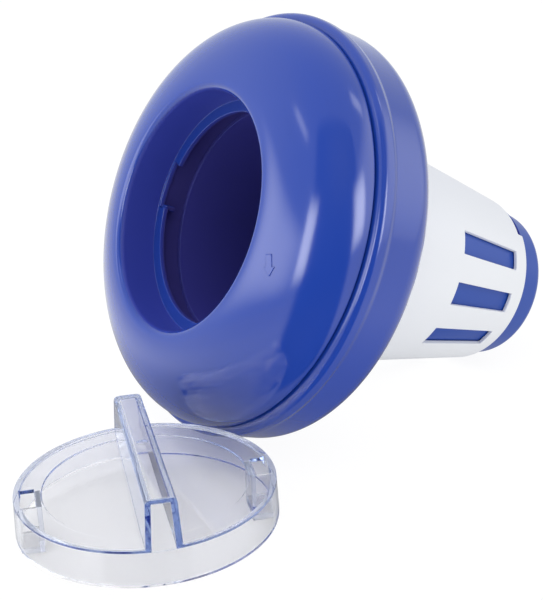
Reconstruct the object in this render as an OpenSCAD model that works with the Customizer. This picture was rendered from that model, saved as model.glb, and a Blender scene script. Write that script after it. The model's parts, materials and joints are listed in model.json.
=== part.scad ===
// Floating chlorine dispenser, lying on its side with its lid taken off.
// All sizes are in millimetres. Every piece of the dispenser is turned about one axis.
// A depth is measured along that axis, from the plane of the throat's mouth towards the basket's end.
// Angles about the axis are measured as seen by someone who looks into the mouth.

/* [Float] */
// Largest diameter of the float, over its belt
float_d = 156.6; // [148:0.2:172]
// Depth of the dome's lower edge
seam_depth = 19.9; // [18:0.1:23]
// How full the dome's curve is: 2 is an ellipse, less is flatter
dome_fullness = 1.84; // [1.6:0.01:2.2]
// Wall of the two float shells
shell_wall = 2.2; // [1.6:0.1:2.8]
// How far the belt stands out beyond the dome's edge
belt_step = 3.2; // [2.4:0.1:4.5]
// Width of the belt along the axis
belt_w = 5.7; // [4.5:0.1:8]
// Rounding of the belt's front edge
belt_round = 2.8; // [0.8:0.1:3.2]
// Width of the shadow groove between dome and belt
seam_gap = 1; // [0.8:0.1:2.4]
// Depth of the shadow groove
seam_cut = 1.8; // [1.2:0.1:2.6]
// Length of the spigot that joins the dome to the belt
spigot_len = 8; // [5:0.5:11]
// Wall of that spigot
spigot_wall = 2; // [1.4:0.1:2.6]
// Gap between spigot and belt, filled by the weld
weld_gap = 0.15; // [0.1:0.05:0.3]
// How far the belt stands out beyond the wall below it
belt_lip = 0.8; // [0.4:0.1:1.4]
// How much the wall below the belt narrows towards its corner, on the radius
wall_draft = 0.4; // [0:0.1:1]
// Rounding of the lower shell's corner
corner_r = 10; // [7:0.5:12]
// Depth of the middle of that rounding
corner_depth = 38.1; // [36:0.1:46]
// Slope of the lower shell's underside, in degrees
under_slope = 8; // [4:0.5:12]

/* [Throat] */
// Diameter of the throat that takes the lid
throat_d = 87; // [82:0.2:92]
// Wall of the throat, which is also the rounding of its lip
throat_wall = 2.7; // [2:0.1:3.2]
// Depth of the ledge that the lid sits on
ledge_depth = 13.1; // [12.8:0.1:15]
// Thickness of the ledge
ledge_t = 2; // [1.5:0.1:2.6]
// How far the ledge reaches in from the throat's wall
ledge_w = 4.4; // [3.8:0.05:5.2]
// Width of each gap in the ledge, in degrees
gap_angle = 25; // [20:1:32]
// Place of the first gap's middle, in degrees
gap_turn = 175; // [150:1:200]
// Width of the ledge that is left in a gap
gap_keep = 1.1; // [0.6:0.1:1.5]
// Width of the stop at the end of each gap, in degrees
stop_angle = 2.6; // [1.6:0.2:4]
// How far that stop reaches below the ledge
stop_drop = 3; // [2:0.1:4]

/* [Canister] */
// Depth of the canister's rim, where the throat ends
rim_depth = 24.3; // [23:0.1:28]
// Inner diameter of the canister's straight neck
neck_d = 84.2; // [80:0.2:86]
// Wall of the canister
can_wall = 2; // [1.5:0.1:2.6]
// Thickness of the rim that the two shells clamp
flange_t = 2.5; // [1.8:0.1:3.2]
// Depth of the canister's closed end
can_end = 154.2; // [149:0.2:164]
// Rounding of the closed end
end_round = 5; // [3.5:0.5:7]
// Thickness of the closed end
end_wall = 2.2; // [1.6:0.1:3]
// Gap between the canister's neck and the lower shell's collar
collar_gap = 0.2; // [0.1:0.05:0.4]
// Wall of that collar
collar_wall = 2.2; // [1.6:0.1:3]

/* [Sleeve] */
// Outer diameter of the sleeve at its top
sleeve_top_d = 95.7; // [93:0.1:99]
// Outer diameter of the sleeve at its end
sleeve_end_d = 67.5; // [65:0.1:72]
// Depth of the sleeve's end
sleeve_end = 139.8; // [135:0.1:143]
// Wall of the sleeve
sleeve_wall = 1.6; // [1.2:0.1:2.2]
// Running gap between sleeve and canister
run_gap = 0.3; // [0.2:0.05:0.5]
// Gap between the sleeve's top and the float
top_gap = 0.5; // [0.3:0.1:1]
// Slots in one group
slot_count = 3; // [2:1:3]
// Groups of slots round the sleeve
slot_groups = 3; // [2:1:3]
// Length of a slot
slot_len = 35; // [24:1:44]
// Width of a slot, in degrees
slot_angle = 13; // [9:0.5:13.5]
// Step from one slot to the next, in degrees
slot_pitch = 28.5; // [28:0.1:29.5]
// Distance from the slots to the sleeve's end
slot_end_gap = 7; // [5:0.5:12]
// Place of the first group's middle, in degrees
slot_turn = -4; // [-20:0.5:20]
// Depth of the notch in the sleeve's end
key_notch = 3; // [2:0.1:4]
// Place where that notch starts, in degrees
key_turn = 45.5; // [40:0.5:60]
// Width of the canister's key that runs in the notch, in degrees
key_angle = 7; // [4:0.5:12]
// Free play of the key at each end of the notch, in degrees
key_play = 0.6; // [0.5:0.1:1.2]
// How far the canister's snap bead grips under the sleeve's end
bead_grip = 0.6; // [0.3:0.1:1]
// Height of the snap bead along the axis
bead_h = 1.8; // [1.2:0.1:2.6]

/* [Lid] */
// Diameter of the lid at its rim
lid_d = 85.1; // [82:0.1:85.8]
// How much the lid's radius grows towards its lower edge
lid_draft = 0.45; // [0.1:0.05:0.55]
// Height of the lid's skirt
skirt_h = 12.35; // [11:0.05:14]
// Wall of the skirt
lid_wall = 2; // [1.4:0.1:2.6]
// How far the lid's floor lies below its rim
floor_drop = 0.3; // [0.2:0.05:2]
// Thickness of the lid's floor
floor_t = 1.3; // [1.2:0.1:2.2]
// Diameter of the sunk disc in the floor
disc_d = 67.4; // [56:0.2:68]
// Depth of that disc
disc_cut = 0.3; // [0.2:0.1:0.5]
// Width of the grip bar at its top
bar_w = 9.7; // [8:0.1:12]
// How much each side of the bar spreads for each millimetre down
bar_draft = 0.052; // [0.02:0.002:0.08]
// Height of the bar above the rim at its high end
bar_high = 16.4; // [12:0.1:20]
// Height of the bar above the rim at its low end
bar_low = 11.9; // [9:0.1:16]
// Wall of the bar
bar_wall = 1.9; // [1.4:0.1:2.4]
// Rounding of the bar's upper edges
bar_round = 1.6; // [0.8:0.1:2]
// Diameter of the round mark on top of the bar
gate_d = 3.6; // [2:0.1:5]
// Depth of that mark
gate_cut = 0.4; // [0.2:0.1:0.8]
// Width of the windows beside the skirt
window_w = 11.5; // [9:0.5:13]
// Length of the windows towards the middle
window_l = 4.9; // [4:0.1:6]
// Width of the hooks under the windows
hook_w = 11; // [8:0.5:12.5]
// Thickness of a hook's leg
leg_t = 1.8; // [1.4:0.1:2.4]
// Thickness of a hook's foot
foot_t = 2.05; // [1.5:0.05:2.6]
// Gap between a hook's foot and the throat's wall
foot_gap = 1.6; // [1.2:0.1:2.2]
// Gap between a hook's foot and the ledge when the lid is locked
lock_gap = 0.3; // [0.2:0.05:0.5]

/* [Place of the lid] */
// How far the lid lies in under the float's edge
lid_tuck = 3.5; // [0:0.1:4]
// Sideways distance from the float's axis to the lid's middle
lid_aside = 50.7; // [48:0.1:80]
// Direction of the bar's low end, in degrees
lid_turn = 69.9; // [0:0.1:360]

/* [Hidden] */
$fn = 96;
overlap = 0.5;
arc_steps = 10;
dome_steps = 20;

float_blue = [0.26, 0.34, 0.72];
canister_blue = [0.16, 0.22, 0.62];
sleeve_white = [0.93, 0.94, 0.96];
lid_clear = [0.86, 0.88, 0.94, 0.5];

// Float: radii and depths that the two shells share
float_r = float_d / 2;
dome_r = float_r - belt_step;
throat_r = throat_d / 2;
crown_r = throat_r + throat_wall;
spigot_r = dome_r - seam_cut;
socket_r = spigot_r + weld_gap;
belt_front = seam_depth + seam_gap;
belt_end = belt_front + belt_w;
wall_r = float_r - belt_lip;
corner_mid = wall_r - wall_draft - corner_r;
ledge_in = throat_r - ledge_w;

// Canister and collar
neck_r = neck_d / 2;
neck_out = neck_r + can_wall;
collar_in = neck_out + collar_gap;
collar_out = collar_in + collar_wall;
collar_top = rim_depth + flange_t;

// Underside of the float, a cone that leaves the corner's rounding at this angle
under_angle = 90 - under_slope;
function under_depth(r, round_r) =
    corner_depth + round_r / sin(under_angle) + (corner_mid - r) / tan(under_angle);
float_end = under_depth(collar_in, corner_r);

// Sleeve and canister taper together
sleeve_top = float_end + top_gap;
sleeve_top_r = sleeve_top_d / 2;
sleeve_end_r = sleeve_end_d / 2;
taper = (sleeve_top_r - sleeve_end_r) / (sleeve_end - sleeve_top);
taper_angle = atan(taper);
function sleeve_r(depth) = sleeve_top_r - taper * (depth - sleeve_top);
function can_r(depth) = sleeve_r(depth) - sleeve_wall - run_gap;
cone_depth = sleeve_top + (sleeve_top_r - sleeve_wall - run_gap - neck_out) / taper;
end_mid_depth = can_end - end_round;
end_mid = can_r(end_mid_depth) - end_round / cos(taper_angle);
end_in_round = end_round - end_wall;
bead_depth = sleeve_end + run_gap;
bead_r = sleeve_r(sleeve_end) - sleeve_wall + bead_grip;

// The sleeve turns by one and a half slot pitches, from shut to fully open
open_turn = 1.5 * slot_pitch;
key_start = key_turn + open_turn + key_play;
notch_angle = open_turn + key_angle + 2 * key_play;

// Lid: heights above the surface on which its two hooks stand
lid_r = lid_d / 2;
lid_foot_r = lid_r + lid_draft;
skirt_z = foot_t + lock_gap + ledge_t;
rim_z = skirt_z + skirt_h;
floor_z = rim_z - floor_drop;
floor_under_z = floor_z - floor_t;
bar_slope = atan((bar_high - bar_low) / (2 * lid_r));
bar_mid_z = rim_z + (bar_high + bar_low) / 2;
window_out = lid_r - lid_wall;
window_in = window_out - window_l;
foot_r = throat_r - foot_gap;

// The dispenser lies on the rounded corner of its float and the rounded end of its canister:
// both touch the floor where it is tangent to the two roundings.
lie_across = corner_mid - end_mid;
lie_along = end_mid_depth - corner_depth;
lie_tilt = acos((end_round - corner_r) / norm([lie_across, lie_along])) - atan2(lie_along, lie_across);
mouth_z = corner_mid * cos(lie_tilt) + corner_depth * sin(lie_tilt) + corner_r;

// The lid stands beside the float, clear of the dome's lower edge
dome_reach = dome_r * sin(lie_tilt) - seam_depth * cos(lie_tilt);
lid_x = lid_tuck - dome_reach - lid_r;
lid_y = -lid_aside;

// The origin is under the middle of the whole part
end_reach = end_mid_depth * cos(lie_tilt) + end_mid * sin(lie_tilt) + end_round;
origin_x = (lid_x - lid_foot_r + end_reach) / 2;
origin_y = (lid_y - lid_foot_r + float_r) / 2;

// A point of a turned profile: radius from the axis, and depth
function at(r, depth) = [r, -depth];

// Points of a round corner, from one angle to another: 0 faces out, 90 faces the basket's end
function round_at(r, depth, round_r, from, to) =
    [for (i = [0 : arc_steps])
        let (a = from + (to - from) * i / arc_steps)
        at(r + round_r * cos(a), depth + round_r * sin(a))];

// Points of the dome, from its crown to its edge, set in by a wall
function dome_at(wall) =
    [for (i = [0 : dome_steps])
        let (a = 90 - 90 * i / dome_steps)
        at(crown_r + (dome_r - crown_r - wall) * pow(cos(a), 2 / dome_fullness),
           seam_depth - (seam_depth + throat_wall - wall) * pow(sin(a), 2 / dome_fullness))];

function reversed(list) = [for (i = [len(list) - 1 : -1 : 0]) list[i]];

// A block that runs part of the way round the axis
module sector(middle, angle, r_in, r_out, from, to) {
    rotate([0, 0, middle - angle / 2])
        rotate_extrude(angle = angle)
            translate([r_in, -to])
                square([r_out - r_in, to - from]);
}

// The slots, all groups round the axis
module slots(turn) {
    for (group = [0 : slot_groups - 1]) {
        for (i = [0 : slot_count - 1]) {
            middle = turn + group * 360 / slot_groups + (i - (slot_count - 1) / 2) * slot_pitch;
            sector(middle, slot_angle, end_mid / 2, sleeve_top_r + overlap,
                   sleeve_end - slot_end_gap - slot_len, sleeve_end - slot_end_gap);
        }
    }
}

// From the dispenser's own axis to how it lies on the floor
module lying() {
    translate([-origin_x, -origin_y, mouth_z])
        rotate([0, lie_tilt - 90, 0])
            rotate([0, 0, -90])
                children();
}

// From the lid's own axis to where it stands
module beside() {
    translate([lid_x - origin_x, lid_y - origin_y, 0])
        rotate([0, 0, lid_turn - 90])
            children();
}

// Dome, throat and spigot as one turned shell
module upper_profile() {
    spigot_in = spigot_r - spigot_wall;
    spigot_end = seam_depth + spigot_len;
    dome_inside = [for (p = reversed(dome_at(shell_wall))) if (p[0] < spigot_in - overlap) p];
    polygon(concat(
        round_at(crown_r, 0, throat_wall, 180, 270),
        [for (p = dome_at(0)) if (p[0] > crown_r) p],
        [at(spigot_r, seam_depth), at(spigot_r, spigot_end), at(spigot_in, spigot_end)],
        [[spigot_in, dome_inside[0][1] - overlap]],
        dome_inside,
        [at(crown_r, rim_depth), at(throat_r, rim_depth)]));
}

// The ledge that the lid's hooks turn under, with its two gaps and their stops
module ledge() {
    ledge_under = ledge_depth + ledge_t;
    difference() {
        rotate_extrude()
            translate([ledge_in, -ledge_under])
                square([ledge_w + overlap, ledge_t]);
        for (side = [0, 180])
            sector(gap_turn + side, gap_angle, ledge_in - overlap, throat_r - gap_keep,
                   ledge_depth - overlap, ledge_under + overlap);
    }
    for (side = [0, 180])
        sector(gap_turn + side + gap_angle / 2, stop_angle, ledge_in + overlap, throat_r + overlap,
               ledge_depth + ledge_t / 2, ledge_under + stop_drop);
}

module float_upper_shell() {
    color(float_blue)
        lying() {
            rotate_extrude()
                upper_profile();
            ledge();
        }
}

// Belt, wall, rounded corner, sloping underside and collar as one turned shell
module lower_profile() {
    inner_r = corner_r - shell_wall;
    socket_end = seam_depth + spigot_len + overlap;
    inner_wall_r = wall_r - shell_wall;
    polygon(concat(
        [at(socket_r, belt_front)],
        round_at(float_r - belt_round, belt_front + belt_round, belt_round, -90, 0),
        [at(float_r, belt_end), at(wall_r, belt_end + belt_lip)],
        round_at(corner_mid, corner_depth, corner_r, 0, under_angle),
        [at(collar_in, float_end), at(collar_in, collar_top), at(collar_out, collar_top)],
        [at(collar_out, under_depth(collar_out, inner_r))],
        round_at(corner_mid, corner_depth, inner_r, under_angle, 0),
        [at(inner_wall_r, socket_end + inner_wall_r - socket_r), at(socket_r, socket_end)]));
}

module float_lower_shell() {
    color(float_blue)
        lying()
            rotate_extrude()
                lower_profile();
}

// Rim, neck, cone, snap bead and closed end as one turned cup
module canister_profile() {
    inner_end = can_end - end_wall;
    bead_end = bead_depth + bead_h;
    polygon(concat(
        [at(neck_r, rim_depth), at(crown_r, rim_depth), at(crown_r, collar_top), at(neck_out, collar_top)],
        [at(neck_out, cone_depth), at(can_r(bead_depth), bead_depth), at(bead_r, bead_depth)],
        [at(bead_r, bead_depth + bead_h / 3), at(can_r(bead_end), bead_end)],
        round_at(end_mid, end_mid_depth, end_round, taper_angle, 90),
        [at(0, can_end), at(0, inner_end)],
        round_at(end_mid, end_mid_depth, end_in_round, 90, taper_angle),
        [at(can_r(end_mid_depth - end_round) - can_wall, end_mid_depth - end_round)],
        [at(neck_r, cone_depth)]));
}

module feed_canister() {
    color(canister_blue)
        lying() {
            difference() {
                rotate_extrude()
                    canister_profile();
                slots(slot_turn + open_turn);
            }
            sector(key_start + key_angle / 2, key_angle,
                   can_r(sleeve_end) - can_wall / 2, sleeve_r(sleeve_end) - run_gap,
                   sleeve_end - key_notch + run_gap, bead_depth + bead_h / 3);
        }
}

module flow_sleeve() {
    color(sleeve_white)
        lying()
            difference() {
                rotate_extrude()
                    polygon([at(sleeve_top_r, sleeve_top), at(sleeve_end_r, sleeve_end),
                             at(sleeve_end_r - sleeve_wall, sleeve_end),
                             at(sleeve_top_r - sleeve_wall, sleeve_top)]);
                slots(slot_turn);
                sector(key_turn + notch_angle / 2, notch_angle,
                       sleeve_end_r - 2 * sleeve_wall, sleeve_top_r,
                       sleeve_end - key_notch, sleeve_end + overlap);
            }
}

// Skirt, floor and sunk disc of the lid
module lid_profile() {
    polygon([
        [lid_foot_r, skirt_z], [lid_r, rim_z], [window_out, rim_z], [window_out, floor_z],
        [disc_d / 2, floor_z], [disc_d / 2 - disc_cut, floor_z - disc_cut], [0, floor_z - disc_cut],
        [0, floor_under_z], [window_out, floor_under_z], [lid_foot_r - lid_wall, skirt_z]]);
}

// Section of the grip bar, set in by a wall, seen along the bar with its top at 0
module bar_section(wall, drop) {
    top_half = bar_w / 2 - wall;
    round_r = max(bar_round - wall, overlap);
    corner = [for (i = [0 : arc_steps])
        let (a = 90 * i / arc_steps)
        [top_half - round_r + round_r * cos(a), -wall - round_r + round_r * sin(a)]];
    foot = top_half + (drop - wall) * bar_draft;
    polygon(concat([[foot, -drop]], corner, [for (p = reversed(corner)) [-p[0], p[1]]], [[-foot, -drop]]));
}

// The bar as a solid that ends flush with a round of the given radius
module bar_solid(wall, end_r, from_z) {
    bar_drop = bar_mid_z - floor_under_z + bar_high;
    intersection() {
        translate([0, 0, from_z])
            cylinder(r = end_r, h = rim_z + bar_high + overlap - from_z);
        translate([0, 0, bar_mid_z])
            rotate([90 - bar_slope, 0, 0])
                linear_extrude(height = 2 * lid_d, center = true)
                    bar_section(wall, bar_drop);
    }
}

// A hook: a leg down from the floor and a foot that points outwards, under a window
module hook() {
    translate([window_in - leg_t, -hook_w / 2, 0])
        cube([leg_t, hook_w, floor_under_z + floor_t / 2]);
    intersection() {
        translate([window_in - leg_t, -hook_w / 2, 0])
            cube([foot_r, hook_w, foot_t]);
        cylinder(r = foot_r, h = foot_t);
    }
}

module lid() {
    color(lid_clear)
        beside() {
            difference() {
                union() {
                    rotate_extrude()
                        lid_profile();
                    bar_solid(0, lid_r, floor_under_z);
                }
                bar_solid(bar_wall, window_out, floor_under_z - overlap);
                for (side = [0, 180])
                    rotate([0, 0, side])
                        translate([window_in, -window_w / 2, floor_under_z - overlap])
                            cube([window_l, window_w, floor_t + 2 * overlap]);
                translate([0, 0, bar_mid_z - gate_cut])
                    rotate([-bar_slope, 0, 0])
                        cylinder(d = gate_d, h = 2 * gate_cut);
            }
            for (side = [0, 180])
                rotate([0, 0, side])
                    hook();
        }
}

float_upper_shell();
float_lower_shell();
feed_canister();
flow_sleeve();
lid();
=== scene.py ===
# %% [markdown]
# # A floating chlorine dispenser
# A hollow blue float carries a basket for chlorine tablets, and its clear cap lies in front of it.
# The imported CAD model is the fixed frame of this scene: it says where each part is and how large.
# Its five parts are drawn again below as smooth pieces with softened edges, because a moulded,
# glossy surface shows every facet of a coarse mesh.

# %% Load the frame
import json
import math
import bpy
from mathutils import Matrix, Vector


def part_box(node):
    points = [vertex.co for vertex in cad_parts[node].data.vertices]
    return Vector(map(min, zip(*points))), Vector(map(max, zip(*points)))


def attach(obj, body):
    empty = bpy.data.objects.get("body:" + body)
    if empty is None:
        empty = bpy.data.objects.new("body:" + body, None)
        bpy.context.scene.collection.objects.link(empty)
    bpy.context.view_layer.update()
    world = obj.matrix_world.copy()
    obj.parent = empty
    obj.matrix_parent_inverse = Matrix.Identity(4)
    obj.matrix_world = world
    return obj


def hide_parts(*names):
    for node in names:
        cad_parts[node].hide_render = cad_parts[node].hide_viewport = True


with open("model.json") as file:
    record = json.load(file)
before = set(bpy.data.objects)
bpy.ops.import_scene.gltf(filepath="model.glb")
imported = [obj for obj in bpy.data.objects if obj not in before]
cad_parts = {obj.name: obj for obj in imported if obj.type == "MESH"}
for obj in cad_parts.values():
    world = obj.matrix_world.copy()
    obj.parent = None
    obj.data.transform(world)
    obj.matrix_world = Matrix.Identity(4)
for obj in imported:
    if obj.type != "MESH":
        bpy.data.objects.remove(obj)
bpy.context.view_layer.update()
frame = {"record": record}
record = frame["record"]

# %% [markdown]
# ## The camera
# The photograph looks down past the cap and into the throat, with a longish lens.
# Yaw is the direction of view on the floor, counted from the X axis, and pitch is how far the lens
# points down. A camera at rest looks straight down, so it is turned up, round and a little aside.

# %% Camera
YAW, PITCH, ROLL = 57.96, 20.81, -2.38
CAMERA_AT, LENS = (-0.2417, -0.3835, 0.2201), 78.13
turn = (Matrix.Rotation(math.radians(YAW - 90), 3, "Z")
        @ Matrix.Rotation(math.radians(90 - PITCH), 3, "X")
        @ Matrix.Rotation(math.radians(ROLL), 3, "Z"))
bpy.ops.object.camera_add(location=CAMERA_AT, rotation=turn.to_euler())
camera = bpy.context.active_object
camera.data.lens = LENS
bpy.context.scene.camera = camera
print("camera", camera.data.lens, "mm at", [round(n, 3) for n in camera.location])

# %% [markdown]
# ## Two places to work in
# Float, basket and sleeve are all turned about one axis, and the cap about another.
# It is easiest to model each piece upright on the origin, and to lay it down when it is done.
# The record gives the throat's bore, so its mouth and axis come from there, and the cap's box gives
# the middle of the cap. Sizes are written in millimetres and turned into metres by MM.

# %% Where the dispenser lies and where the cap stands
MM = 0.001
CAP_TURN = 69.9

throat = next(mount for mount in record["mounts"] if mount["name"] == "throat")
outward = Vector(throat["axis"]).normalized()
mouth = Vector(throat["pos_m"]) + outward * throat["dims"]["length_mm"] * MM / 2
across = Vector((0, 0, 1)).cross(outward).normalized()
axes = Matrix((across, outward.cross(across), outward)).transposed()
LYING = Matrix.Translation(mouth) @ axes.to_4x4()

cap_low, cap_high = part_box("lid")
cap_middle = ((cap_low.x + cap_high.x) / 2, (cap_low.y + cap_high.y) / 2, 0)
STANDING = Matrix.Translation(cap_middle) @ Matrix.Rotation(math.radians(CAP_TURN - 90), 4, "Z")
print("mouth", [round(n, 4) for n in mouth], "cap", [round(n, 4) for n in cap_middle])

# %% [markdown]
# ## A lathe
# A turned part is its half section, spun about the axis. The section is drawn as a chain: a plane
# is merged to a single point, and the point is extruded from corner to corner. Spin then works as a
# lathe. The same tool makes the blocks that run part of the way round, such as slots and stops:
# there the section is filled with a face before it is spun.

# %% Draw a section and spin it
MERGE = 0.002 * MM
SPIN_STEP = 1.5


def at(r, depth):
    """A point of a section: radius from the axis, and depth below the mouth, in millimetres."""
    return Vector((r, 0, -depth)) * MM


def rounding(r, depth, radius, start, stop, steps=10):
    """Points of a round corner: 0 degrees faces out, and 90 faces the basket's end."""
    angles = [math.radians(start + (stop - start) * i / steps) for i in range(steps + 1)]
    return [at(r + radius * math.cos(a), depth + radius * math.sin(a)) for a in angles]


def edit_new(name):
    """Starts a new mesh from a plane that is merged to one point, and stays in edit mode."""
    bpy.ops.object.select_all(action="DESELECT")
    bpy.ops.mesh.primitive_plane_add(size=MM)
    piece = bpy.context.active_object
    piece.name = name
    bpy.ops.object.mode_set(mode="EDIT")
    bpy.ops.mesh.merge(type="CENTER")
    return piece


def draw_chain(points, closed=True):
    """Extrudes the selected point along a chain of points, back to the first one if it is closed."""
    bpy.ops.transform.translate(value=points[0])
    stops = points + points[:1] if closed else points
    for here, there in zip(stops, stops[1:]):
        bpy.ops.mesh.extrude_region_move(TRANSFORM_OT_translate={"value": there - here})
    bpy.ops.mesh.select_all(action="SELECT")
    bpy.ops.mesh.remove_doubles(threshold=MERGE)


def turned(name, section, start=0, sweep=360, closed=True):
    """Spins a section about the upright axis, from the start angle on."""
    piece = edit_new(name)
    draw_chain(section, closed)
    if sweep < 360:
        bpy.ops.mesh.edge_face_add()
    steps = max(4, round(sweep / SPIN_STEP))
    bpy.ops.mesh.spin(steps=steps, angle=math.radians(sweep), center=(0, 0, 0), axis=(0, 0, -1))
    bpy.ops.mesh.select_all(action="SELECT")
    bpy.ops.mesh.remove_doubles(threshold=MERGE)
    bpy.ops.mesh.normals_make_consistent(inside=False)
    bpy.ops.object.mode_set(mode="OBJECT")
    piece.rotation_euler.z = math.radians(start)
    bpy.ops.object.transform_apply(location=False, rotation=True, scale=False)
    return piece


print("lathe ready, one step is", SPIN_STEP, "degrees")

# %% [markdown]
# ## Finishing a piece
# Moulded parts have no knife edges: each edge of the tool leaves a small round that catches light.
# A Bevel modifier limited by angle puts that round on every sharp edge at once, also on the edges
# that a Boolean has cut, and then the faces are shaded smooth up to that same angle.
# Last, the piece is laid where the real one is, and that place is applied to its mesh.

# %% Cut, soften, place
SHARP = math.radians(32)


def combine(piece, operation, *tools):
    """Cuts each tool from the piece, or joins it on, and removes the tool."""
    for tool in tools:
        bpy.ops.object.select_all(action="DESELECT")
        bpy.context.view_layer.objects.active = piece
        modifier = piece.modifiers.new("combine", "BOOLEAN")
        modifier.operation = operation
        modifier.solver = "EXACT"
        modifier.object = tool
        bpy.ops.object.modifier_apply(modifier=modifier.name)
        bpy.data.objects.remove(tool)


def soften(piece, width, segments=3):
    """Rounds the sharp edges by a width in millimetres."""
    bpy.ops.object.select_all(action="DESELECT")
    bpy.context.view_layer.objects.active = piece
    modifier = piece.modifiers.new("soften", "BEVEL")
    modifier.limit_method = "ANGLE"
    modifier.angle_limit = SHARP
    modifier.width = width * MM
    modifier.segments = segments
    modifier.use_clamp_overlap = False
    modifier.miter_outer = "MITER_ARC"
    bpy.ops.object.modifier_apply(modifier=modifier.name)


def settle(piece, place, body, node=None):
    """Lays a finished piece in its place, hangs it on the body that carries it, and hides the CAD part it
    stands for.
    """
    bpy.ops.object.select_all(action="DESELECT")
    bpy.context.view_layer.objects.active = piece
    piece.select_set(True)
    bpy.ops.object.shade_smooth_by_angle(angle=SHARP)
    modifier = piece.modifiers.new("flat faces lead", "WEIGHTED_NORMAL")
    modifier.keep_sharp = True
    modifier.weight = 100
    bpy.ops.object.modifier_apply(modifier=modifier.name)
    piece.matrix_world = place
    bpy.ops.object.transform_apply(location=True, rotation=True, scale=True)
    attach(piece, body)
    if node:
        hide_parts(node)
    print(piece.name, len(piece.data.polygons), "faces,", "rides on", body)


print("edges over", round(math.degrees(SHARP)), "degrees are softened")

# %% [markdown]
# ## The dome and its throat
# The upper half of the float is one moulding: a full, soft dome that rolls over a round lip into the
# throat, and a spigot below it that is welded into the belt. A ledge runs round inside the throat.
# The dome's edge reaches a little further down than in the solid, so that the groove to the belt is thin.
# The dome's line is a superellipse, a little flatter than an ellipse, so it is worked out point by
# point. The ledge is drawn into the section at once, and only its two gaps are cut afterwards.

# %% Dome section
FLOAT_R = 78.3
DOME_R = 75.1
SEAM = 19.9
DOME_EDGE = 0.4
THROAT_R = 43.5
THROAT_WALL = 2.7
CROWN_R = THROAT_R + THROAT_WALL
FULLNESS = 1.84
SHELL = 2.2
SPIGOT_R = DOME_R - 1.8
SPIGOT_IN = SPIGOT_R - 2
SPIGOT_END = SEAM + 8
LEDGE, LEDGE_T = 13.1, 2
LEDGE_IN = THROAT_R - 4.4
RIM = 24.3
FILLET = 0.5


def dome_line(wall, steps):
    """Points from the crown to the dome's edge, set in by a wall."""
    points = []
    for i in range(1, steps + 1):
        a = math.radians(90 - 90 * i / steps)
        r = CROWN_R + (DOME_R - CROWN_R - wall) * max(math.cos(a), 0) ** (2 / FULLNESS)
        depth = SEAM - (SEAM + THROAT_WALL - wall) * max(math.sin(a), 0) ** (2 / FULLNESS)
        points.append(at(r, depth))
    return points


inside = [p for p in reversed(dome_line(SHELL, 24)) if p.x < (SPIGOT_IN - FILLET) * MM]
under_ledge = LEDGE + LEDGE_T
dome = turned("dome", (
    rounding(CROWN_R, 0, THROAT_WALL, 180, 270, 14)
    + dome_line(0, 56)
    + [at(DOME_R, SEAM + DOME_EDGE), at(SPIGOT_R, SEAM + DOME_EDGE)]
    + [at(SPIGOT_R, SPIGOT_END), at(SPIGOT_IN, SPIGOT_END)]
    + [at(SPIGOT_IN, -inside[0].z / MM + FILLET)] + inside
    + [at(CROWN_R, RIM), at(THROAT_R, RIM), at(THROAT_R, under_ledge), at(LEDGE_IN, under_ledge)]
    + [at(LEDGE_IN, LEDGE), at(THROAT_R, LEDGE)]))
print("dome", len(dome.data.vertices), "points")

# %% [markdown]
# ## The gaps and stops of the ledge
# The cap's two hooks drop through two gaps in the ledge and turn under it until they meet a stop.
# Each gap is a block of 25 degrees that leaves a narrow step of the ledge, and each stop is a small
# block below the ledge at the end of a gap, so one helper draws them all, a half turn apart.
# A block that cuts reaches PAST the wall it cuts, and a block that is joined reaches INTO its wall.

# %% Gaps and stops
GAP_TURN, GAP_ANGLE, GAP_KEEP = 175, 25, 1.1
STOP_ANGLE, STOP_DROP = 2.6, 3
PAST, INTO = 1, 0.5


def ring_block(middle, angle, r_in, r_out, near, far):
    """A block round the axis, from one depth to another."""
    section = [at(r_in, near), at(r_out, near), at(r_out, far), at(r_in, far)]
    return turned("block", section, start=middle - angle / 2, sweep=angle)


for side in (0, 180):
    combine(dome, "DIFFERENCE", ring_block(
        GAP_TURN + side, GAP_ANGLE, LEDGE_IN - PAST, THROAT_R - GAP_KEEP,
        LEDGE - PAST, under_ledge + PAST))
    combine(dome, "UNION", ring_block(
        GAP_TURN + side + GAP_ANGLE / 2, STOP_ANGLE, LEDGE_IN + INTO, THROAT_R + INTO,
        LEDGE + LEDGE_T / 2, under_ledge + STOP_DROP))
soften(dome, 0.3)
settle(dome, LYING, "float", "float_upper_shell")

# %% [markdown]
# ## The arrow on the dome
# A small raised arrow beside the throat shows which way the cap turns to open. It is drawn flat above
# the dome, cut into small faces so that it can bend, and dropped on the dome by a Shrinkwrap along the
# axis. A Solidify then gives it height, with a little of it below the skin so that no gap shows.

# %% Arrow
ARROW_TAIL, ARROW_TIP = Vector((54.96, -2.11, 10)), Vector((57.33, -8.77, 10))
ARROW_H = 0.3
forward = (ARROW_TIP - ARROW_TAIL).normalized()
aside = Vector((-forward.y, forward.x, 0))
outline = [(0, -1.1), (4.1, -1.1), (4.1, -2.1), (7.1, 0), (4.1, 2.1), (4.1, 1.1), (0, 1.1)]
arrow = edit_new("arrow")
draw_chain([(ARROW_TAIL + forward * x + aside * y) * MM for x, y in outline])
bpy.ops.mesh.edge_face_add()
bpy.ops.mesh.quads_convert_to_tris()
bpy.ops.mesh.subdivide(number_cuts=5)
bpy.ops.mesh.normals_make_consistent(inside=False)
bpy.ops.object.mode_set(mode="OBJECT")
arrow.matrix_world = LYING
drop = arrow.modifiers.new("drop on the dome", "SHRINKWRAP")
drop.target = dome
drop.wrap_method = "PROJECT"
drop.use_project_z = True
drop.use_positive_direction = False
drop.use_negative_direction = True
bpy.ops.object.modifier_apply(modifier=drop.name)
raise_it = arrow.modifiers.new("raise", "SOLIDIFY")
raise_it.thickness = 2 * ARROW_H * MM
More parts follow.
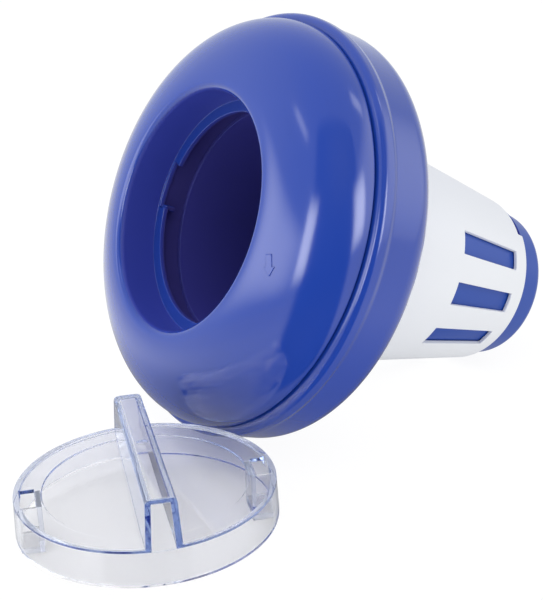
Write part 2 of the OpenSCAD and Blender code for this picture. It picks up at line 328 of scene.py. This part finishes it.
raise_it.offset = 0
bpy.ops.object.modifier_apply(modifier=raise_it.name)
soften(arrow, 0.1, 2)
settle(arrow, LYING, "float")

# %% [markdown]
# ## The belt and the lower shell
# The lower half is a shallow bowl. Its belt stands proud of the dome with a thin shadow groove
# between them, and drops to the wall in a soft step. The wall rolls round a broad corner, and the
# underside slopes to a collar that holds the basket. It is one section again, so the lathe makes it
# in one go.

# %% Lower shell
GROOVE = 1
BELT_FRONT, BELT_W, BELT_ROUND, BELT_LIP = SEAM + GROOVE, 5.7, 2.8, 0.8
BELT_END = BELT_FRONT + BELT_W
STEP_BEFORE, STEP_AFTER = 1.2, 1.0
SOCKET_R = SPIGOT_R + 0.15
WALL_R = FLOAT_R - BELT_LIP
CORNER_R, CORNER = 10, 38.1
WALL_DRAFT = 0.4
CORNER_MID = WALL_R - WALL_DRAFT - CORNER_R
UNDER = 82
COLLAR_IN = 44.3
COLLAR_OUT = COLLAR_IN + 2.2
COLLAR_TOP = RIM + 2.5


def under_depth(r, radius):
    """Depth of the sloping underside at a radius, for a corner of the given rounding."""
    slope = math.radians(UNDER)
    return CORNER + radius / math.sin(slope) + (CORNER_MID - r) / math.tan(slope)


def belt_step(steps=12):
    """The soft step from the belt down to the wall."""
    start, length = BELT_END - STEP_BEFORE, STEP_BEFORE + BELT_LIP + STEP_AFTER
    drop = [(1 - math.cos(math.pi * i / steps)) / 2 for i in range(steps + 1)]
    return [at(FLOAT_R - BELT_LIP * d, start + length * i / steps) for i, d in enumerate(drop)]


FLOAT_END = under_depth(COLLAR_IN, CORNER_R)
inner_round = CORNER_R - SHELL
inner_wall = WALL_R - SHELL
socket_end = SPIGOT_END + 0.5
belt = turned("belt", (
    [at(SOCKET_R, BELT_FRONT)]
    + rounding(FLOAT_R - BELT_ROUND, BELT_FRONT + BELT_ROUND, BELT_ROUND, -90, 0, 12)
    + belt_step()
    + rounding(CORNER_MID, CORNER, CORNER_R, 0, UNDER, 24)
    + [at(COLLAR_IN, FLOAT_END), at(COLLAR_IN, COLLAR_TOP), at(COLLAR_OUT, COLLAR_TOP)]
    + [at(COLLAR_OUT, under_depth(COLLAR_OUT, inner_round))]
    + rounding(CORNER_MID, CORNER, inner_round, UNDER, 0, 12)
    + [at(inner_wall, socket_end + inner_wall - SOCKET_R), at(SOCKET_R, socket_end)]))
soften(belt, 0.25)
settle(belt, LYING, "float", "float_lower_shell")

# %% [markdown]
# ## The basket
# The basket is a tapered cup. Its rim is clamped between the two shells, its slots let water reach
# the tablets, and a snap bead and a key near its rounded end hold the sleeve. Its section starts and
# ends on the axis, so that chain stays open, and the doubled points on the axis are merged.

# %% Basket section
SLEEVE_TOP = FLOAT_END + 0.5
SLEEVE_TOP_R, SLEEVE_END_R, SLEEVE_END, SLEEVE_WALL = 47.85, 33.75, 139.8, 1.6
RUN_GAP = 0.3
TAPER = (SLEEVE_TOP_R - SLEEVE_END_R) / (SLEEVE_END - SLEEVE_TOP)
NECK_R, CUP_WALL = 42.1, 2
CUP_END, END_ROUND, END_WALL = 154.2, 5, 2.2
BEAD = SLEEVE_END + RUN_GAP
BEAD_R, BEAD_H = SLEEVE_END_R - SLEEVE_WALL + 0.6, 1.8


def sleeve_r(depth):
    return SLEEVE_TOP_R - TAPER * (depth - SLEEVE_TOP)


def cup_r(depth):
    return sleeve_r(depth) - SLEEVE_WALL - RUN_GAP


cone_start = SLEEVE_TOP + (SLEEVE_TOP_R - SLEEVE_WALL - RUN_GAP - NECK_R - CUP_WALL) / TAPER
end_mid = CUP_END - END_ROUND
end_mid_r = cup_r(end_mid) - END_ROUND / math.cos(math.atan(TAPER))
lean = math.degrees(math.atan(TAPER))
bead_end = BEAD + BEAD_H
inner_start = end_mid - END_ROUND
basket = turned("basket", (
    [at(0, CUP_END - END_WALL)]
    + rounding(end_mid_r, end_mid, END_ROUND - END_WALL, 90, lean, 8)
    + [at(cup_r(inner_start) - CUP_WALL, inner_start), at(NECK_R, cone_start), at(NECK_R, RIM)]
    + [at(CROWN_R, RIM), at(CROWN_R, COLLAR_TOP), at(NECK_R + CUP_WALL, COLLAR_TOP)]
    + [at(NECK_R + CUP_WALL, cone_start), at(cup_r(BEAD), BEAD), at(BEAD_R, BEAD)]
    + [at(BEAD_R, BEAD + BEAD_H / 3), at(cup_r(bead_end), bead_end)]
    + rounding(end_mid_r, end_mid, END_ROUND, lean, 90, 14)
    + [at(0, CUP_END)]), closed=False)
print("basket", len(basket.data.vertices), "points, taper", round(lean, 2), "degrees")

# %% [markdown]
# ## Slots and key
# Basket and sleeve have the same three groups of three slots. Turning the sleeve brings its slots
# over the basket's slots, or over the walls between them, and so sets how fast the tablets dissolve.
# The photograph shows the sleeve shut: blue wall behind each slot. A key on the basket runs in a notch
# of the sleeve's end and limits that turn. All slots are cut by blocks of the same kind.

# %% Cut the slots
SLOT_ANGLE, SLOT_PITCH, SLOT_LEN, SLOT_TURN = 13, 28.5, 35, -4
SLOT_FAR = SLEEVE_END - 7
SLOT_CUT_R = 12, SLEEVE_TOP_R + PAST
OPEN_TURN = 1.5 * SLOT_PITCH
KEY_TURN, KEY_ANGLE, KEY_PLAY, NOTCH = 45.5, 7, 0.6, 3


def cut_slots(piece, turn):
    """Cuts three groups of three slots through a wall."""
    for group in (0, 120, 240):
        for step in (-1, 0, 1):
            combine(piece, "DIFFERENCE", ring_block(
                turn + group + step * SLOT_PITCH, SLOT_ANGLE, *SLOT_CUT_R,
                SLOT_FAR - SLOT_LEN, SLOT_FAR))


cut_slots(basket, SLOT_TURN + OPEN_TURN)
key_start = KEY_TURN + OPEN_TURN + KEY_PLAY
combine(basket, "UNION", ring_block(
    key_start + KEY_ANGLE / 2, KEY_ANGLE, cup_r(SLEEVE_END) - CUP_WALL / 2, SLEEVE_END_R - RUN_GAP,
    SLEEVE_END - NOTCH + RUN_GAP, BEAD + BEAD_H / 3))
soften(basket, 0.22)
settle(basket, LYING, "float", "feed_canister")

# %% [markdown]
# ## The sleeve
# The sleeve is a plain tapered tube of one wall, which slides on the basket with a small running gap.
# It gets the slots from the same helper, and the notch for the key is one block more. The notch is as
# long as the key and the whole turn together, so its two ends are the two stops.

# %% Sleeve and notch
sleeve = turned("sleeve", [
    at(SLEEVE_TOP_R, SLEEVE_TOP), at(SLEEVE_END_R, SLEEVE_END),
    at(SLEEVE_END_R - SLEEVE_WALL, SLEEVE_END), at(SLEEVE_TOP_R - SLEEVE_WALL, SLEEVE_TOP)])
cut_slots(sleeve, SLOT_TURN)
notch_angle = OPEN_TURN + KEY_ANGLE + 2 * KEY_PLAY
combine(sleeve, "DIFFERENCE", ring_block(
    KEY_TURN + notch_angle / 2, notch_angle, SLEEVE_END_R - 2 * SLEEVE_WALL, SLEEVE_TOP_R,
    SLEEVE_END - NOTCH, SLEEVE_END + PAST))
soften(sleeve, 0.25)
settle(sleeve, LYING, "sleeve", "flow_sleeve")

# %% [markdown]
# ## The clear cap
# The cap is injection moulded in clear plastic: a low skirt, a thin plate just below its rim with a
# shallow disc sunk in it, a hollow grip bar across the top that is higher at one end, and two hooks
# that show below two windows in the plate. It has to be one closed mesh, because light is bent at
# every wall: walls that only overlap would show as ghosts. So its parts are joined with Booleans.
# The section stops short of the axis, and one flat face fills each of the two holes that this leaves:
# a fan of narrow triangles that meet on the axis would show as streaks in the clear plate.

# %% Skirt and plate of the cap
CAP_R, CAP_FOOT_R, CAP_WALL = 42.55, 43.0, 2
SKIRT_Z, RIM_Z = 4.35, 16.7
PLATE_Z, PLATE_UNDER = 16.4, 15.1
DISC_R, DISC_CUT = 33.7, 0.3
CAP_IN = CAP_R - CAP_WALL


def up(x, z):
    """A point of a section by its height above the floor."""
    return at(x, -z)


def close_holes(piece):
    """Fills whatever is open, and turns all faces outwards."""
    bpy.ops.object.select_all(action="DESELECT")
    bpy.context.view_layer.objects.active = piece
    bpy.ops.object.mode_set(mode="EDIT")
    bpy.ops.mesh.select_all(action="SELECT")
    bpy.ops.mesh.remove_doubles(threshold=MERGE)
    bpy.ops.mesh.fill_holes(sides=0)
    bpy.ops.mesh.normals_make_consistent(inside=False)
    bpy.ops.object.mode_set(mode="OBJECT")


cap = turned("cap", [
    up(CAP_IN, PLATE_UNDER), up(CAP_FOOT_R - CAP_WALL, SKIRT_Z), up(CAP_FOOT_R, SKIRT_Z),
    up(CAP_R, RIM_Z), up(CAP_IN, RIM_Z), up(CAP_IN, PLATE_Z), up(DISC_R, PLATE_Z),
    up(DISC_R - DISC_CUT, PLATE_Z - DISC_CUT)], closed=False)
close_holes(cap)
print("cap", len(cap.data.vertices), "points")

# %% [markdown]
# ## The grip bar
# The bar is a long block with rounded upper edges and sides that spread a little downwards, as a
# mould needs. It is drawn as a section, extruded along its length, tilted, and trimmed to the round of
# the cap.
# A smaller copy of the same bar hollows it out from below. It ends a little short of the skirt, by
# SEAT, because a Boolean can leave holes where two faces lie in one another.

# %% Grip bar
BAR_W, BAR_DRAFT, BAR_HIGH, BAR_LOW, BAR_WALL, BAR_ROUND = 9.7, 0.052, 16.4, 11.9, 1.9, 1.6
BAR_MID_Z = RIM_Z + (BAR_HIGH + BAR_LOW) / 2
BAR_SLOPE = math.atan((BAR_HIGH - BAR_LOW) / (2 * CAP_R))
SEAT = 0.3
TALL = 40


def prism(name, section, length):
    """Fills a section and extrudes it along Y, to both sides of the middle."""
    piece = edit_new(name)
    draw_chain(section)
    bpy.ops.mesh.edge_face_add()
    bpy.ops.transform.translate(value=(0, -length * MM / 2, 0))
    bpy.ops.mesh.extrude_region_move(TRANSFORM_OT_translate={"value": (0, length * MM, 0)})
    bpy.ops.mesh.select_all(action="SELECT")
    bpy.ops.mesh.normals_make_consistent(inside=False)
    bpy.ops.object.mode_set(mode="OBJECT")
    return piece


def bar_block(wall, end_r, bottom):
    """The bar set in by a wall, from a bottom height up, trimmed to a round."""
    half, drop = BAR_W / 2 - wall, 36
    radius = max(BAR_ROUND - wall, 0.5)
    foot = half + (drop - wall) * BAR_DRAFT
    arc = [math.radians(90 * i / 6) for i in range(7)]
    right = [up(half - radius + radius * math.cos(a), -wall - radius + radius * math.sin(a)) for a in arc]
    left = [Vector((-p.x, 0, p.z)) for p in reversed(right)]
    bar = prism("bar", [up(foot, -drop)] + right + left + [up(-foot, -drop)], 4 * CAP_R)
    bar.rotation_euler.x = -BAR_SLOPE
    bar.location.z = BAR_MID_Z * MM
    bpy.ops.object.transform_apply(location=True, rotation=True, scale=False)
    combine(bar, "INTERSECT", turned(
        "round", [up(0, bottom), up(end_r, bottom), up(end_r, TALL), up(0, TALL)], closed=False))
    return bar


combine(cap, "UNION", bar_block(0, CAP_R, PLATE_UNDER))
combine(cap, "DIFFERENCE", bar_block(BAR_WALL, CAP_IN - SEAT, PLATE_UNDER - PAST / 2))
print("bar slopes by", round(math.degrees(BAR_SLOPE), 2), "degrees")

# %% [markdown]
# ## Windows, hooks and the gate mark
# Each hook is an L: a leg down from the plate and a foot that points outwards. A mould can only form
# that foot if its core reaches it from above, which is why there is a window over each hook. A hook is
# drawn once as a section and extruded, and the second one is a copy turned by half a circle. The leg
# ends inside the plate, and it stands back from the window's edge by the same SEAT as the bar's hollow.

# %% Windows, hooks, gate
WINDOW_W, WINDOW_L, HOOK_W, LEG_T, FOOT_T, FOOT_R = 11.5, 4.9, 11, 1.8, 2.05, 41.9
WINDOW_IN = CAP_IN - WINDOW_L
LEG_IN, LEG_OUT, LEG_TOP = WINDOW_IN - LEG_T, WINDOW_IN - SEAT, PLATE_Z - 0.65
GATE_R, GATE_CUT = 1.8, 0.4


def turned_copy(piece, degrees):
    """A copy with its own mesh, turned about the upright axis."""
    bpy.ops.object.select_all(action="DESELECT")
    copy = piece.copy()
    copy.data = piece.data.copy()
    bpy.context.collection.objects.link(copy)
    bpy.context.view_layer.objects.active = copy
    copy.select_set(True)
    copy.rotation_euler.z = math.radians(degrees)
    bpy.ops.object.transform_apply(location=False, rotation=True, scale=False)
    return copy


window = prism("window", [up(WINDOW_IN, PLATE_UNDER - PAST), up(CAP_IN, PLATE_UNDER - PAST),
                          up(CAP_IN, PLATE_Z + PAST), up(WINDOW_IN, PLATE_Z + PAST)], WINDOW_W)
combine(cap, "DIFFERENCE", turned_copy(window, 180), window)

hook = prism("hook", [up(LEG_IN, 0), up(FOOT_R + PAST, 0), up(FOOT_R + PAST, FOOT_T),
                      up(LEG_OUT, FOOT_T), up(LEG_OUT, LEG_TOP), up(LEG_IN, LEG_TOP)], HOOK_W)
combine(hook, "INTERSECT", turned(
    "round", [up(0, -PAST), up(FOOT_R, -PAST), up(FOOT_R, TALL), up(0, TALL)], closed=False))
combine(cap, "UNION", turned_copy(hook, 180), hook)

gate = turned("gate", [
    up(0, -GATE_CUT), up(GATE_R, -GATE_CUT), up(GATE_R, PAST), up(0, PAST)], closed=False)
gate.rotation_euler.x = -BAR_SLOPE
gate.location.z = BAR_MID_Z * MM
bpy.ops.object.transform_apply(location=True, rotation=True, scale=False)
combine(cap, "DIFFERENCE", gate)
close_holes(cap)
soften(cap, 0.12)
settle(cap, STANDING, "lid", "lid")

# %% [markdown]
# ## Writing finishes
# A finish is a tree of shader nodes. A small wrapper round an output socket lets sums be written as
# plain Python: each operator adds one Math node. Every other node comes from one method that takes
# its type, its settings and what goes into its sockets.

# %% Node helpers
class Wire:
    """An output socket. Sums and products of wires and numbers add Math nodes."""

    def __init__(self, socket):
        self.socket = socket

    def math(self, operation, first, second):
        node = self.socket.id_data.nodes.new("ShaderNodeMath")
        node.operation = operation
        for socket, value in zip(node.inputs, (first, second)):
            plug(socket, value)
        return Wire(node.outputs[0])

    def __add__(self, other):
        return self.math("ADD", self, other)

    def __sub__(self, other):
        return self.math("SUBTRACT", self, other)

    def __mul__(self, other):
        return self.math("MULTIPLY", self, other)

    def __rsub__(self, other):
        return self.math("SUBTRACT", other, self)

    __radd__ = __add__
    __rmul__ = __mul__

    def over(self, limit):
        """1 where the wire is above a limit, and 0 elsewhere."""
        return self.math("GREATER_THAN", self, limit)


def plug(socket, value):
    """Links a wire to a socket, or sets the socket to a number, colour or vector."""
    if isinstance(value, Wire):
        socket.id_data.links.new(value.socket, socket)
    else:
        socket.default_value = value


class Nodes:
    """A node tree that nodes are added to, with their settings first and their sockets after."""

    def __init__(self, tree):
        self.tree = tree

    def add(self, kind, settings=None, sockets=None, output=0):
        node = self.tree.nodes.new(kind)
        for name, value in (settings or {}).items():
            setattr(node, name, value)
        for name, value in (sockets or {}).items():
            plug(node.inputs[name], value)
        return Wire(node.outputs[output])


def fade(nodes, value, start, stop):
    """A smooth step from 0 to 1."""
    return nodes.add("ShaderNodeMapRange", {"interpolation_type": "SMOOTHSTEP"},
                     {"Value": value, "From Min": start, "From Max": stop})


def mixed(nodes, factor, first, second):
    """A colour between two colours."""
    return nodes.add("ShaderNodeMix", {"data_type": "RGBA"},
                     {"Factor": factor, 6: first, 7: second}, output=2)


def finish_for(name, constants):
    """A new material with a Principled shader, and its constant sockets set."""
    material = bpy.data.materials.new(name)
    material.use_nodes = True
    shader = material.node_tree.nodes["Principled BSDF"]
    for socket, value in constants.items():
        shader.inputs[socket].default_value = value
    return material, Nodes(material.node_tree), shader


print("node helpers ready")

# %% [markdown]
# ## Inside and outside
# Inside the throat the blue is painted darker and nearer to violet, most of all below the ledge: painted
# shade for the light that has met blue walls several times in there. Where it is painted is found from
# the shape itself: there the surface faces the axis of the dispenser, or it faces the mouth from below
# the ledge. Vector Math splits a place into its part along the axis and its part away from it.

# %% Masks for painted shade inside
def painted_shade_masks(nodes, place):
    """Two masks for painted shade: what faces the axis or the mouth from inside, and what lies below the
    ledge.
    """
    def vector(operation, first, second=(0, 0, 0), output=0):
        return nodes.add("ShaderNodeVectorMath", {"operation": operation}, {0: first, 1: second}, output)

    from_mouth = vector("SUBTRACT", place, mouth)
    along = vector("DOT_PRODUCT", from_mouth, outward, "Value")
    on_axis = nodes.add("ShaderNodeVectorMath", {"operation": "SCALE"}, {0: outward, "Scale": along})
    from_axis = vector("SUBTRACT", from_mouth, on_axis)
    normal = nodes.add("ShaderNodeTexCoord", output="Normal")
    facing_out = vector("DOT_PRODUCT", vector("NORMALIZE", from_axis), normal, "Value")
    inwards = fade(nodes, 0 - facing_out, 0.7, 0.97)
    to_mouth = fade(nodes, vector("DOT_PRODUCT", normal, outward, "Value"), 0.4, 0.9)
    below = fade(nodes, 0 - along, (LEDGE + 0.5) * MM, under_ledge * MM)
    within = 1 - vector("LENGTH", from_axis, output="Value").over((CROWN_R + 0.5) * MM)
    return inwards.math("MAXIMUM", inwards, to_mouth * below * within), below


print("inside is within", CROWN_R, "mm of the axis, shade starts", under_ledge, "mm deep")

# %% [markdown]
# ## Blue moulded plastic
# The float is polished, dyed plastic. Close up it isn't one flat blue: the dye clouds a little, the
# skin has a fine ripple like orange peel, and handling has left faint hairlines. The clouds mix two
# blues and move the roughness, and the ripple and the hairlines go into a Bump. A coat gives the float
# its polish. The basket is a little rougher and has none, and inside both are duller. Inside, the
# throat and shade blues are painted shade: darker and more violet than the blues outside.

# %% Blue plastic
def blue_plastic(name, light, deep, throat, shade, rough, coat):
    """Glossy plastic between two close blues, painted darker inside as shade: throat in the throat, and
    shade below its ledge.
    """
    material, nodes, shader = finish_for(name, {"IOR": 1.5, "Coat Roughness": 0.09})
    place = nodes.add("ShaderNodeTexCoord", output="Object")
    inside, below = painted_shade_masks(nodes, place)
    cloud = nodes.add("ShaderNodeTexNoise", None, {"Vector": place, "Scale": 14.0, "Detail": 3.0})
    ripple = nodes.add("ShaderNodeTexNoise", None, {"Vector": place, "Scale": 420.0, "Detail": 1.0})
    long_way = nodes.add("ShaderNodeMapping", None, {
        "Vector": place, "Rotation": (0.5, 0.9, 0.3), "Scale": (25, 25, 260)})
    grain = nodes.add("ShaderNodeTexNoise", None, {"Vector": long_way, "Scale": 1.0, "Detail": 1.0})
    hairline = 1 - fade(nodes, grain.math("ABSOLUTE", grain - 0.5, 0), 0.0, 0.006)
    outer, inner = mixed(nodes, cloud, deep, light), mixed(nodes, below, throat, shade)
    plug(shader.inputs["Base Color"], mixed(nodes, inside, outer, inner))
    plug(shader.inputs["Roughness"], rough + 0.06 * cloud + 0.3 * inside)
    plug(shader.inputs["Coat Weight"], coat * (1 - inside))
    bump = nodes.add("ShaderNodeBump", None, {
        "Strength": 0.06, "Distance": 0.0002, "Height": ripple - 0.15 * hairline})
    plug(shader.inputs["Normal"], bump)
    return material


# throat and shade are painted shade, darker and more violet than the outside blues.
float_blue = blue_plastic(
    "float_blue", light=(0.0128, 0.0535, 0.38, 1), deep=(0.0105, 0.0475, 0.345, 1),
    throat=(0.032, 0.05, 0.36, 1), shade=(0.045, 0.04, 0.21, 1), rough=0.14, coat=0.85)
basket_blue = blue_plastic(
    "basket_blue", light=(0.014, 0.070, 0.40, 1), deep=(0.011, 0.062, 0.37, 1),
    throat=(0.045, 0.045, 0.30, 1), shade=(0.045, 0.045, 0.30, 1), rough=0.26, coat=0.0)
for piece, material in (
        (dome, float_blue), (arrow, float_blue), (belt, float_blue), (basket, basket_blue)):
    piece.data.materials.clear()
    piece.data.materials.append(material)
print("blue on", dome.name, arrow.name, belt.name, basket.name)

# %% [markdown]
# ## White moulded plastic
# The sleeve is white plastic with a satin skin, a trace of blue in its white, and a fine grain.

# %% White plastic
sleeve_white, nodes, shader = finish_for("sleeve_white", {"IOR": 1.47})
place = nodes.add("ShaderNodeTexCoord", output="Object")
cloud = nodes.add("ShaderNodeTexNoise", None, {"Vector": place, "Scale": 20.0, "Detail": 3.0})
grain = nodes.add("ShaderNodeTexNoise", None, {"Vector": place, "Scale": 1500.0, "Detail": 2.0})
white = mixed(nodes, cloud, (0.835, 0.855, 0.895, 1), (0.86, 0.88, 0.915, 1))
plug(shader.inputs["Base Color"], white)
plug(shader.inputs["Roughness"], 0.34 + 0.08 * cloud)
bump = nodes.add("ShaderNodeBump", None, {"Strength": 0.02, "Distance": 0.0001, "Height": grain})
plug(shader.inputs["Normal"], bump)
sleeve.data.materials.append(sleeve_white)
print("white on", sleeve.name)

# %% [markdown]
# ## Clear plastic
# The cap is clear, with a faint blue that only shows where the eye looks along a wall: at edges and
# along the sides of the bar. A little absorption inside the solid gives exactly that. Light bounces
# many times between such walls before it comes out, so more bounces are allowed than usual: with few
# of them the edges would turn black.

# %% Clear plastic
BOUNCES = 48
cap_clear, nodes, shader = finish_for("cap_clear", {
    "IOR": 1.49, "Transmission Weight": 1.0, "Base Color": (0.972, 0.968, 0.975, 1)})
place = nodes.add("ShaderNodeTexCoord", output="Object")
haze = nodes.add("ShaderNodeTexNoise", None, {"Vector": place, "Scale": 30.0, "Detail": 4.0})
plug(shader.inputs["Roughness"], 0.02 + 0.03 * haze)
nodes.add("ShaderNodeVolumeAbsorption", None, {"Color": (0.55, 0.65, 0.845, 1), "Density": 35.0})
absorb = cap_clear.node_tree.nodes["Volume Absorption"]
output = cap_clear.node_tree.nodes["Material Output"]
cap_clear.node_tree.links.new(absorb.outputs[0], output.inputs["Volume"])
cap.data.materials.append(cap_clear)
cycles = bpy.context.scene.cycles
cycles.max_bounces = cycles.glossy_bounces = cycles.transmission_bounces = BOUNCES
print("clear on", cap.name, "with", BOUNCES, "bounces")

# %% [markdown]
# ## The studio
# Glossy plastic is mostly a picture of the room. The reflections on the dome tell what stood there:
# white all round and above, and a dark gap where the camera stands in its room. The gap is found from
# the direction of a ray: its turn about the upright axis, and its rise. Only gloss sees the gap. It
# ends below the zenith, and the white that gloss sees has a trace of blue.
# Camera rays, and rays through the clear cap, see plain white. A ray that the dome mirrored into the
# cap has one reflection behind it and travels on towards -X. It counts mostly as gloss, or else the
# cap's picture on the dome would be too bright.

# %% The dark gap and the white around it
MIDDLE = Vector((-0.01, 0, 0.08))
GAP_MID, GAP_HALF, GAP_SPREAD, GAP_FLARE = -120, 32, 14, 18
ROOM, TENT, TENT_FALL, OFF_DOME = 0.78, 0.72, 0.17, 0.7
PLAIN, BLUISH = (1, 1, 1, 1), (0.90, 0.95, 1.10, 1)


def seen_rays(nodes, way):
    """1 for the rays that show the background as it is: from the camera, and through the cap."""
    camera, through, mirrored = [nodes.add("ShaderNodeLightPath", output=name)
                                 for name in ("Is Camera Ray", "Is Transmission Ray", "Glossy Depth")]
    x = nodes.add("ShaderNodeSeparateXYZ", None, {"Vector": way}, output="X")
    off_dome = (mirrored.over(0.5) - mirrored.over(1.5)) * (1 - fade(nodes, x, -0.25, -0.05))
    return camera.math("MAXIMUM", camera, through * (1 - OFF_DOME * off_dome))


def gloss_rays(nodes, seen):
    """1 for rays off gloss. Rays through the cap carry that mark too, so they are taken out."""
    return nodes.add("ShaderNodeLightPath", output="Is Glossy Ray") * (1 - seen)


def dark_gap(nodes, way):
    """How dark the room is in a direction: most low in the gap, less higher up, and none overhead."""
    away = nodes.add("ShaderNodeVectorRotate", {"rotation_type": "Z_AXIS"},
                     {"Vector": way, "Angle": math.radians(-GAP_MID)})
    x, y, z = [nodes.add("ShaderNodeSeparateXYZ", None, {"Vector": away}, output=axis) for axis in "XYZ"]
    turn = y.math("ARCTAN2", y, x)
    steep = z * z
    wider = math.radians(GAP_SPREAD) * steep + math.radians(GAP_FLARE) * steep * steep * steep
    beyond = turn.math("ABSOLUTE", turn, 0) - (math.radians(GAP_HALF) + wider)
    between, below_top = 1 - fade(nodes, beyond, -0.04, 0.10), fade(nodes, x, 0.16, 0.32)
    return between * below_top * (1 - 0.3 * z.math("MAXIMUM", z, 0))


world = bpy.data.worlds.new("studio")
bpy.context.scene.world = world
world.use_nodes = True
nodes = Nodes(world.node_tree)
way = nodes.add("ShaderNodeTexCoord", output="Generated")
height = nodes.add("ShaderNodeSeparateXYZ", None, {"Vector": way}, output="Z")
seen = seen_rays(nodes, way)
gloss = gloss_rays(nodes, seen)
tent = (TENT - TENT_FALL * height) * (1 - dark_gap(nodes, way))
background = world.node_tree.nodes["Background"]
plug(background.inputs["Color"], mixed(nodes, gloss, PLAIN, BLUISH))
plug(background.inputs["Strength"], ROOM * (1 - seen - gloss) + seen + gloss * tent)
print("dark gap from", GAP_MID - GAP_HALF, "to", GAP_MID + GAP_HALF, "degrees")

# %% [markdown]
# ## The floor
# The product stands on a plain white sweep. The floor is a mix of two: one glows by itself, and one is
# lit like any matt surface and holds the object's soft shadow. The camera sees mostly the first, so the
# floor is as white as in the photograph with a faint shadow on it, and rays through the cap see mostly
# the second. Gloss sees a glow with a painted shadow: it is darker near the object, as if the object
# shaded the floor there. Before the mouth, at -X, the floor glows brighter: painted light that acts as a
# fill lamp and lights the dome from below and the throat.

# %% Floor
FLOOR_R = 3
# GLOSS_NEAR is the glow of the painted shadow near the object; MATT_BEFORE and GLOSS_BEFORE are painted
# light before the mouth.
SEEN_GLOW, MATT_GLOW, MATT_BEFORE = 1.04, 1.05, 0.9
GLOSS_NEAR, GLOSS_FAR, GLOSS_BEFORE = 0.16, 0.62, 0.15
SEEN_SHARE, CAMERA_SHARE, MATT_SHARE = 0.2, 0.7, 0.7
bpy.ops.object.select_all(action="DESELECT")
bpy.ops.mesh.primitive_circle_add(
    vertices=96, radius=FLOOR_R, fill_type="NGON", location=(0, 0, -0.1 * MM))
floor = bpy.context.active_object
floor.name = "floor"
floor_white, nodes, shader = finish_for("floor_white", {
    "Base Color": (0.94, 0.94, 0.945, 1), "Roughness": 0.9})
back = nodes.add("ShaderNodeNewGeometry", output="Incoming")
way = nodes.add("ShaderNodeVectorMath", {"operation": "SCALE"}, {0: back, "Scale": -1.0})
camera = nodes.add("ShaderNodeLightPath", output="Is Camera Ray")
seen, gap = seen_rays(nodes, way), dark_gap(nodes, way)
gloss = gloss_rays(nodes, seen)
place = nodes.add("ShaderNodeTexCoord", output="Object")
from_middle = nodes.add("ShaderNodeVectorMath", {"operation": "DISTANCE"},
                        {0: place, 1: (MIDDLE.x, MIDDLE.y, 0)}, output="Value")
x = nodes.add("ShaderNodeSeparateXYZ", None, {"Vector": place}, output="X")
# Painted light: before the mouth, at -X, the floor glows brighter. Painted shadow: the glow that gloss
# sees is darker near the object.
before = (1 - fade(nodes, x, -0.08, 0.03)) * (1 - fade(nodes, from_middle, 0.2, 0.6))
gloss_glow_with_painted_shadow = GLOSS_NEAR + GLOSS_FAR * fade(nodes, from_middle, 0.04, 0.17) + GLOSS_BEFORE * before
matt = 1 - seen - gloss
own = SEEN_SHARE * seen + CAMERA_SHARE * camera + gloss + MATT_SHARE * matt
strength = (SEEN_GLOW * seen + gloss * gloss_glow_with_painted_shadow * (1 - gap)
            + (MATT_GLOW + MATT_BEFORE * before) * matt)
glow = nodes.add("ShaderNodeEmission", None, {"Color": PLAIN, "Strength": strength})
surface = nodes.add("ShaderNodeMixShader", None, {0: own, 1: Wire(shader.outputs[0]), 2: glow})
plug(floor_white.node_tree.nodes["Material Output"].inputs["Surface"], surface)
floor.data.materials.append(floor_white)
print("floor", floor.dimensions.x, "m across")

# %% [markdown]
# ## Lamps
# Soft boxes make the light. Six of them are only seen in gloss: a tall strip at the left edge of the
# gap draws the long streak on the dome, a broad weak box stands further left, a narrow one at the right
# edge draws the short streak, a broad weak one brightens the belt's side, and two small ones high up
# draw a faint streak each. Two more stand in front and behind. They only light, because the white around
# already stands for them in gloss. A real soft box is brightest in its middle, so the strength falls
# off towards its edges.

# %% Soft boxes
LAMPS = (  # name, turn, rise, distance, width, height, radiance, softness, seen in gloss
    ("strip", -154, 22, 1.0, 0.26, 0.68, 5.0, 0.9, True),
    ("left", 166, 16.5, 1.0, 1.50, 0.56, 2.0, 1.0, True),
    ("side", -76, 20, 1.0, 0.50, 0.74, 4.8, 1.0, True),
    ("high left", 164, 56, 1.0, 0.36, 0.10, 1.8, 1.0, True),
    ("high right", -20, 54, 1.0, 0.20, 0.34, 1.9, 1.0, True),
    ("right", -40, 22, 1.0, 1.50, 1.20, 1.0, 1.0, True),
    ("back", 130, 45, 1.2, 1.2, 1.2, 2.5, 1.0, False),
    ("front", -110, 55, 1.2, 1.0, 1.0, 2.2, 1.0, False))


def softbox(name, turn, rise, distance, width, height, radiance, soft, in_gloss):
    """A lamp that faces the object, placed by direction and distance, with soft edges."""
    turn, rise = math.radians(turn), math.radians(rise)
    way = Vector((math.cos(turn) * math.cos(rise), math.sin(turn) * math.cos(rise), math.sin(rise)))
    bpy.ops.object.light_add(type="AREA", location=MIDDLE + way * distance)
    lamp = bpy.context.active_object
    lamp.name = name
    lamp.rotation_euler = (-way).to_track_quat("-Z", "Y").to_euler()
    lamp.data.shape = "RECTANGLE"
    lamp.data.size, lamp.data.size_y = width, height
    lamp.data.energy = math.pi * width * height * radiance
    lamp.visible_glossy = in_gloss
    lamp.visible_diffuse = not in_gloss
    lamp.data.use_nodes = True
    nodes = Nodes(lamp.data.node_tree)
    place = nodes.add("ShaderNodeTexCoord", output="UV")
    u, v = [nodes.add("ShaderNodeSeparateXYZ", None, {"Vector": place}, output=axis) for axis in "XY"]
    edge = fade(nodes, 4 * u * (1 - u), 0, soft) * fade(nodes, 4 * v * (1 - v), 0, soft)
    plug(lamp.data.node_tree.nodes["Emission"].inputs["Strength"], edge)


for lamp in LAMPS:
    softbox(*lamp)

# %% [markdown]
# ## Close
# The view transform stays plain.

# %% Close
bpy.context.scene.view_settings.view_transform = "Standard"
